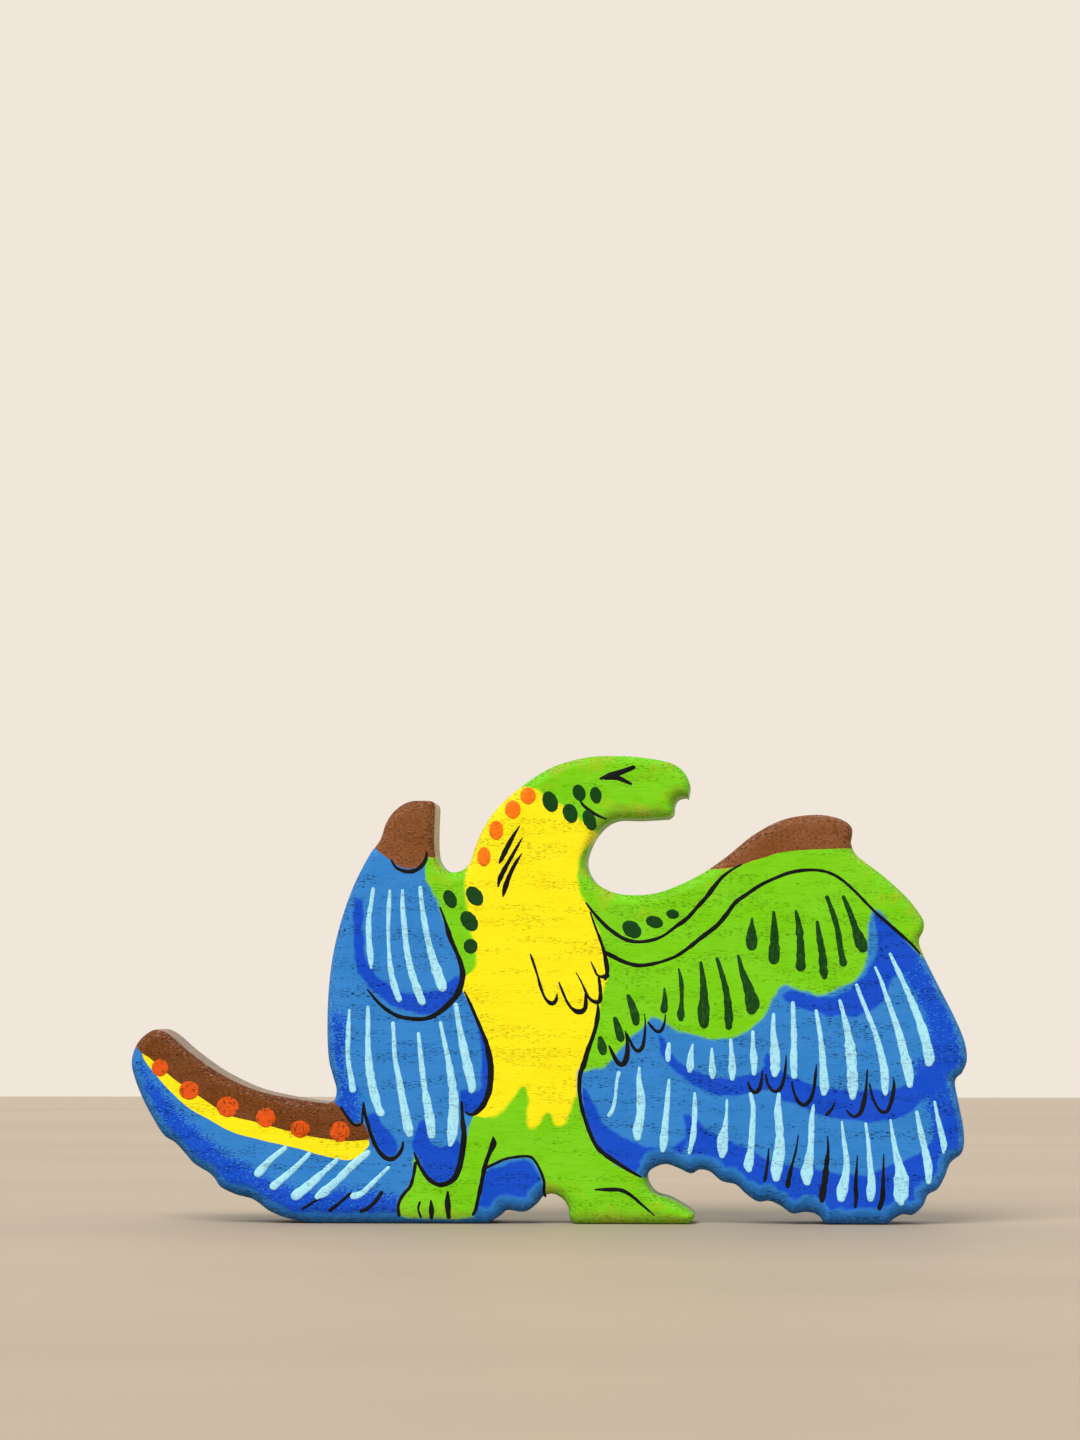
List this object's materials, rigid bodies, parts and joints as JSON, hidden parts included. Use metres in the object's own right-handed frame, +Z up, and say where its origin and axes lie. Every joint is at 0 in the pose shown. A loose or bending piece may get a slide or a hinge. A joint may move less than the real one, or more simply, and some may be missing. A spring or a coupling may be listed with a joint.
{
  "type": "painted wooden bird dinosaur figure",
  "caption": "Flat free-standing figure of a feathered dinosaur with spread wings and a long tail, sawn from a thick board, rounded at its edges and hand-painted on both faces.",
  "frame": {"origin": "centre of the footprint's length and thickness, on the surface the figure stands on", "axes": "+X along the board from the tail's end to the spread right wing, +Y through the board's thickness from the painted front to the rear, +Z up"},
  "size_m": [0.17, 0.018, 0.095],
  "materials": {
    "board_wood": "bare pale wood, sanded",
    "blue_paint": "mid-blue acrylic paint on wood under satin varnish",
    "green_paint": "lime-green acrylic paint on wood under satin varnish",
    "yellow_paint": "yellow acrylic paint on wood under satin varnish",
    "brown_paint": "brown acrylic paint on wood under satin varnish"
  },
  "bodies": {
    "root": {"wood_body": "board_wood", "left_wing_tip_coat": "brown_paint", "left_wing_coat": "blue_paint", "shoulder_coat": "green_paint", "chest_coat": "yellow_paint", "legs_coat": "green_paint", "tail_coat": "blue_paint", "tail_back_coat": "brown_paint", "tail_stripe_front": "yellow_paint", "tail_stripe_rear": "yellow_paint", "head_coat": "green_paint", "right_wing_green_coat": "green_paint", "right_wing_blue_coat": "blue_paint", "right_wing_tip_coat": "brown_paint"}
  },
  "joints": []
}
